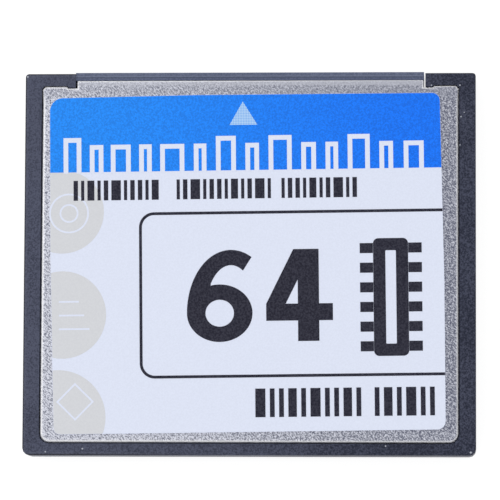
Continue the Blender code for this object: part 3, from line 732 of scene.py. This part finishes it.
def printed(name, color, roughness=0.42, change=None, mottle=0.15, dots=None, fleck=None):
    """Print or film with a faint mottle, like ink on coated paper.

    The change is the tone at its right or, where dots gives the pitch of a screen, on its dots.
    A fleck is the colour of the mottle, which is otherwise a darker shade.
    """
    material, shader, place = finish(name, Specular_IOR_Level=0.22)
    fibre = place.noise(FIBRE, detail=2.0, roughness=0.65)
    across = place.split("X").between(-INK_HALF, INK_HALF)
    blend = screened(place, dots) if dots else across
    tone = blend.mix(rgb(*color), rgb(*(change or color)))
    mottled = place.node("Mix", {"data_type": "RGBA", "blend_type": "MIX" if fleck else "MULTIPLY"}, {
        0: mottle * fibre.between(0.35, 0.65), 6: tone, 7: rgb(*(fleck or FIBRE_SHADE))}, 2)
    feed(shader, Base_Color=mottled, Roughness=roughness + 0.08 * (fibre - 0.5),
         Normal=fibre.bump(0.0015 * MM))
    return material


film = coats("label_film", [outline(LABEL_CORNERS)], LABEL_TOP, printed("label_white", FILM_WHITE),
             low=LABEL_BOTTOM)
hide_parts("label")


# Print in colour
# A blue band along the front with a plain insertion mark, and three pale discs down the left side
# that the film's edge cuts, each with a plain line figure in the film's white.

# The print's sizes are in millimetres. A corner or a disc is its place and radius.
BAND_EDGE = ((-18.9, 8.91, 0.0), (18.7, 8.91, 0.0))
MARK = ((-1.59, 13.23, 0.0), (1.06, 13.23, 0.0), (-0.31, 15.47, 0.0))
MARK_SCREEN = 0.22 * MM
DISCS = ((-17.55, 5.15, 3.97), (-17.57, -4.66, 4.15), (-18.02, -14.39, 4.50))
FIGURE_LINE = 0.17
RING_PLACE = (-16.9, 5.0)
RING_RADII = (1.9, 0.9)
STROKES_LEFT = -17.9
# Right end and lower side of each stroke
STROKES = ((-15.0, -6.1), (-15.5, -4.8), (-16.0, -3.5))
DIAMOND_PLACE = np.array((-16.4, -12.9))
DIAMOND_REACH = 1.8
DIAMOND_LINE = 1.4 * FIGURE_LINE

band = outline(np.vstack([np.array(BAND_EDGE) * MM, LABEL_CORNERS[3:6]]))
coats("band_print", [on_film(band)], LABEL_TOP + 2 * COAT,
      printed("band_blue", (0.016, 0.279, 1.0), change=(0.006, 0.188, 0.985), mottle=1.0))
coats("insertion_mark", [outline(np.array(MARK) * MM)], LABEL_TOP + 3 * COAT,
      printed("mark_pale_blue", (0.19, 0.42, 0.84), change=(0.50, 0.69, 0.93),
              dots=MARK_SCREEN))
discs = [on_film(disc(x, y, radius, 96)) for x, y, radius in DISCS]
coats("disc_print", discs, LABEL_TOP + COAT, printed("disc_beige", (0.645, 0.657, 0.688)))
figures = [(disc(*RING_PLACE, radius), disc(*RING_PLACE, radius - FIGURE_LINE)) for radius in RING_RADII]
figures += [box(STROKES_LEFT, right, low, low + FIGURE_LINE) for right, low in STROKES]
diamond = np.array([(1, 0), (0, 1), (-1, 0), (0, -1)], dtype=float)
figures += [tuple((diamond * reach + DIAMOND_PLACE) * MM
                  for reach in (DIAMOND_REACH, DIAMOND_REACH - DIAMOND_LINE))]
coats("disc_figures", figures, LABEL_TOP + 2 * COAT, printed("figure_white", FILM_WHITE))


# Pulse line
# A square pulse line in the film's white, printed over the blue, which rises out of the white
# field into the band.

PULSE_LINE = 0.45
PULSE_LOW = 8.8
# Left side, top and width of each pulse
PULSES = ((-17.4, 12.2, 1.7), (-14.9, 11.5, 1.3), (-12.9, 11.5, 1.9), (-10.2, 11.5, 1.2),
          (-8.2, 11.5, 2.3), (-5.0, 11.5, 1.2), (-2.9, 12.2, 1.9), (-0.1, 11.5, 1.3),
          (2.1, 12.2, 2.2), (5.2, 11.5, 1.4), (7.5, 11.5, 1.2), (9.6, 12.2, 2.1),
          (12.6, 11.5, 1.3), (14.9, 11.5, 1.9))


def pulse(left, top, width):
    """One pulse: a line of even width up, across and down again, as one outline."""
    right = left + width
    inner_left, inner_right, inner_top = left + PULSE_LINE, right - PULSE_LINE, top - PULSE_LINE
    return np.array([(left, PULSE_LOW), (inner_left, PULSE_LOW), (inner_left, inner_top),
                     (inner_right, inner_top), (inner_right, PULSE_LOW), (right, PULSE_LOW),
                     (right, top), (left, top)]) * MM


coats("pulse_print", [pulse(*sizes) for sizes in PULSES], LABEL_TOP + 3 * COAT,
      printed("pulse_white", FILM_WHITE))


# Dark print
# Two rows of plain bars, a thin frame that is open at the right, plain numerals in it, and the
# outline of a chip with its pins beside them, all in one dark ink.

DARK_TOP = LABEL_TOP + 3 * COAT
dark_ink = printed("dark_ink", (0.010, 0.010, 0.022), 0.38, mottle=1.0, fleck=(0.034, 0.034, 0.053))
UPPER_LOW, UPPER_HIGH = 6.20, 8.10
UPPER_GROUPS = ((-16.46, -8.0), (-6.65, 2.4), (3.3, 10.8))
UPPER_BARS = (0.42, 0.30, 0.66, 0.30, 0.42, 0.90, 0.30, 0.42)
UPPER_GAP = 0.30
LINE_LEFT, LINE_TOP, LINE_BOTTOM = -10.25, 5.00, -10.79
LINE_WIDTH = 0.27
LINE_RADIUS = 1.43
LINE_RIGHT = 18.8


def bars(left, right, low, high, widths, gap, first):
    """Bars from left to right until the group is full, whose widths go round from number first on."""
    x, index = left, first
    while x < right:
        end = min(x + widths[index % len(widths)], right)
        if end - x > gap / 2:
            yield box(x, end, low, high)
        x = end + gap
        index += 1


upper_row = [bar for number, (left, right) in enumerate(UPPER_GROUPS)
             for bar in bars(left, right, UPPER_LOW, UPPER_HIGH, UPPER_BARS, UPPER_GAP, 3 * number)]
coats("upper_bars", upper_row, DARK_TOP, dark_ink)

inner_radius = LINE_RADIUS - LINE_WIDTH
frame_line = outline(np.array([
    (LINE_RIGHT, LINE_TOP - LINE_WIDTH, 0.0), (LINE_RIGHT, LINE_TOP, 0.0),
    (LINE_LEFT, LINE_TOP, LINE_RADIUS), (LINE_LEFT, LINE_BOTTOM, LINE_RADIUS),
    (LINE_RIGHT, LINE_BOTTOM, 0.0), (LINE_RIGHT, LINE_BOTTOM + LINE_WIDTH, 0.0),
    (LINE_LEFT + LINE_WIDTH, LINE_BOTTOM + LINE_WIDTH, -inner_radius),
    (LINE_LEFT + LINE_WIDTH, LINE_TOP - LINE_WIDTH, -inner_radius)]) * MM)
coats("frame_line", [on_film(frame_line)], DARK_TOP, dark_ink)

LOWER_LOW, LOWER_HIGH = -14.55, -11.85
LOWER_GROUPS = ((0.65, 10.9), (11.9, 17.6))
LOWER_BARS = (0.95, 0.45, 0.45, 0.80, 0.45)
LOWER_GAP = 0.42
lower_row = [bar for number, (left, right) in enumerate(LOWER_GROUPS)
             for bar in bars(left, right, LOWER_LOW, LOWER_HIGH, LOWER_BARS, LOWER_GAP, 2 * number)]
coats("lower_bars", lower_row, DARK_TOP, dark_ink)

CHIP_BODY = (11.9, 15.2, -8.9, 2.25)
CHIP_WALL = 1.15
CHIP_RADIUS, CHIP_INNER_RADIUS = 0.5, 0.1
PIN_COUNT = 6
PIN_WIDTH = 0.95
PIN_PITCH = 1.86
PIN_GAP = 0.02
LEFT_PIN, RIGHT_PIN = 1.26, 1.29
left, right, low, high = CHIP_BODY
chip = [(box(left, right, low, high, CHIP_RADIUS),
         box(left + CHIP_WALL, right - CHIP_WALL, low + CHIP_WALL, high - CHIP_WALL, CHIP_INNER_RADIUS))]
pins = (np.arange(PIN_COUNT) - (PIN_COUNT - 1) / 2) * PIN_PITCH + (low + high) / 2
for start, end in ((left - LEFT_PIN, left - PIN_GAP), (right + PIN_GAP, right + RIGHT_PIN)):
    chip += [box(start, end, pin - PIN_WIDTH / 2, pin + PIN_WIDTH / 2) for pin in pins]
coats("chip_figure", chip, DARK_TOP, dark_ink)

NUMERAL_LOW = -7.40
NUMERAL_HIGH = 1.32
SIX = (-5.75, 0.45)
SIX_BOWL = 5.45
SIX_STROKE = np.array((1.75, 1.45))
SIX_STEM_REACH = 1.35
SIX_STEM_END = 62.0
FOUR = (1.75, 8.05)
FOUR_HOLE = 1.85
FOUR_STEM = (4.75, 6.75)
FOUR_BAR = (-5.45, -3.85)
FOUR_SLOPE_TOP = 4.35


def ellipse(middle, radii, start=0.0, end=360.0, count=72):
    """Points round an ellipse from one angle to another, in degrees."""
    angle = np.radians(np.linspace(start, end, count, endpoint=abs(end - start) < 360.0))
    return np.array(middle) + np.column_stack([np.cos(angle), np.sin(angle)]) * radii


def numeral_six():
    """A ring, and a stem that leaves its left side: one outline and one hole.

    The stem lies between two wider ellipses on the ring's middle line. Its inner edge ends, and the
    ring's outer edge starts, where the two ellipses cross.
    """
    left, right = SIX
    radii = np.array(((right - left) / 2, SIX_BOWL / 2))
    middle = np.array(((left + right) / 2, NUMERAL_LOW + radii[1]))
    reach = np.array((SIX_STEM_REACH * radii[0], NUMERAL_HIGH - middle[1]))
    stem_middle = np.array((left + reach[0], middle[1]))
    stem_outer = ellipse(stem_middle, reach, SIX_STEM_END, 180.0)
    stem_inner = ellipse(stem_middle, reach - SIX_STROKE, 180.0, SIX_STEM_END)
    beyond = np.sum(((stem_inner - middle) / radii) ** 2, axis=1) > 1.0
    stem_inner = stem_inner[np.argmax(beyond):]
    turn = math.degrees(math.atan2(*((stem_inner[0] - middle) / radii)[::-1]))
    bowl = ellipse(middle, radii, 180.0, 360.0 + turn)
    hole = ellipse(middle, radii - SIX_STROKE)
    return np.vstack([stem_outer[:-1], bowl, stem_inner[1:]]) * MM, hole * MM


def numeral_four():
    """A stem, a cross bar, and a slope that joins their ends: one outline and a three-cornered hole."""
    left, right = FOUR
    stem_left, stem_right = FOUR_STEM
    bar_low, bar_high = FOUR_BAR
    outer = [(stem_left, NUMERAL_LOW), (stem_right, NUMERAL_LOW), (stem_right, bar_low), (right, bar_low),
             (right, bar_high), (stem_right, bar_high), (stem_right, NUMERAL_HIGH),
             (FOUR_SLOPE_TOP, NUMERAL_HIGH), (left, bar_high), (left, bar_low), (stem_left, bar_low)]
    slope = (NUMERAL_HIGH - bar_high) / (FOUR_SLOPE_TOP - left)
    start = left + FOUR_HOLE
    hole = [(start, bar_high), (stem_left, bar_high), (stem_left, bar_high + (stem_left - start) * slope)]
    return np.array(outer) * MM, np.array(hole) * MM


coats("numeral_6", [numeral_six()], DARK_TOP, dark_ink)
coats("numeral_4", [numeral_four()], DARK_TOP, dark_ink)


# Floor, light and camera
# A white table in a light tent, whose walls are brighter than its top, most at the left and beyond
# the sockets, with one soft lamp. The camera looks down on the card, a little from its rear and from
# its right.

FLOOR_HALF = 1.5
FLOOR_DROP = 0.01 * MM
TENT_TOP = 0.53
TENT_WALLS = 1.38
TENT_LEAN = (-0.25, 0.20)
LAMP_PLACE = Vector((-0.32, 0.10, 0.36))
LAMP_SIZE = 0.25
LAMP_POWER = 0.24
CAMERA_PLACE = Vector((19.772, -36.627, 388.09)) * MM
CAMERA_AIM = Vector((0.059, 1.222, 3.3)) * MM
CAMERA_ROLL = math.radians(0.251)
CAMERA_LENS = 294.7

floor_material, shader, place = finish("white_table", Base_Color=rgb(0.27, 0.27, 0.27), Roughness=0.9,
                                       Specular_IOR_Level=0.0, Emission_Strength=0.84)
light_path = [place.node("LightPath", {}, {}, kind)
              for kind in ("Is Camera Ray", "Is Glossy Ray", "Is Transmission Ray")]
seen = place.maths("MINIMUM", light_path[0] + light_path[1] + light_path[2], 1.0)
feed(shader, Emission_Color=seen.mix(rgb(0.0, 0.0, 0.0), rgb(1.0, 1.0, 1.0)))
corners = np.array([(-1, -1), (1, -1), (1, 1), (-1, 1)]) * FLOOR_HALF
floor = link_mesh("table", np.column_stack([corners, np.full(len(corners), -FLOOR_DROP)]), [[0, 1, 2, 3]],
                  floor_material)

world = bpy.data.worlds.new("light_tent")
world.use_nodes = True
bpy.context.scene.world = world
sky = Wire(world.node_tree).node("TexCoord", {}, {}, "Generated")
low_down = 1.0 - abs(sky.split("Z"))
lean = 0.95 + TENT_LEAN[0] * sky.split("X") + TENT_LEAN[1] * sky.split("Y")
level = TENT_TOP + TENT_WALLS * low_down * lean
background = world.node_tree.nodes["Background"]
world.node_tree.links.new(level.socket, background.inputs["Strength"])
background.inputs["Color"].default_value = rgb(1.0, 1.0, 1.0)

lamp_data = bpy.data.lights.new("soft_lamp", "AREA")
lamp_data.size = LAMP_SIZE
lamp_data.energy = LAMP_POWER
lamp = bpy.data.objects.new("soft_lamp", lamp_data)
bpy.context.scene.collection.objects.link(lamp)
towards_card = (-LAMP_PLACE).to_track_quat("-Z", "Y")
lamp.matrix_world = Matrix.Translation(LAMP_PLACE) @ towards_card.to_matrix().to_4x4()

camera_data = bpy.data.cameras.new("camera")
camera_data.sensor_width = 36.0
camera_data.lens = CAMERA_LENS
camera_data.clip_start = 0.01
camera_data.clip_end = 10.0
camera = bpy.data.objects.new("camera", camera_data)
bpy.context.scene.collection.objects.link(camera)
back = (CAMERA_PLACE - CAMERA_AIM).normalized()
level_right = Vector((0.0, 1.0, 0.0)).cross(back).normalized()
level_up = back.cross(level_right)
right_axis = level_right * math.cos(CAMERA_ROLL) + level_up * math.sin(CAMERA_ROLL)
up_axis = back.cross(right_axis)
camera.matrix_world = Matrix((
    (right_axis.x, up_axis.x, back.x, CAMERA_PLACE.x),
    (right_axis.y, up_axis.y, back.y, CAMERA_PLACE.y),
    (right_axis.z, up_axis.z, back.z, CAMERA_PLACE.z),
    (0.0, 0.0, 0.0, 1.0)))
bpy.context.scene.camera = camera
bpy.context.scene.view_settings.view_transform = "Standard"
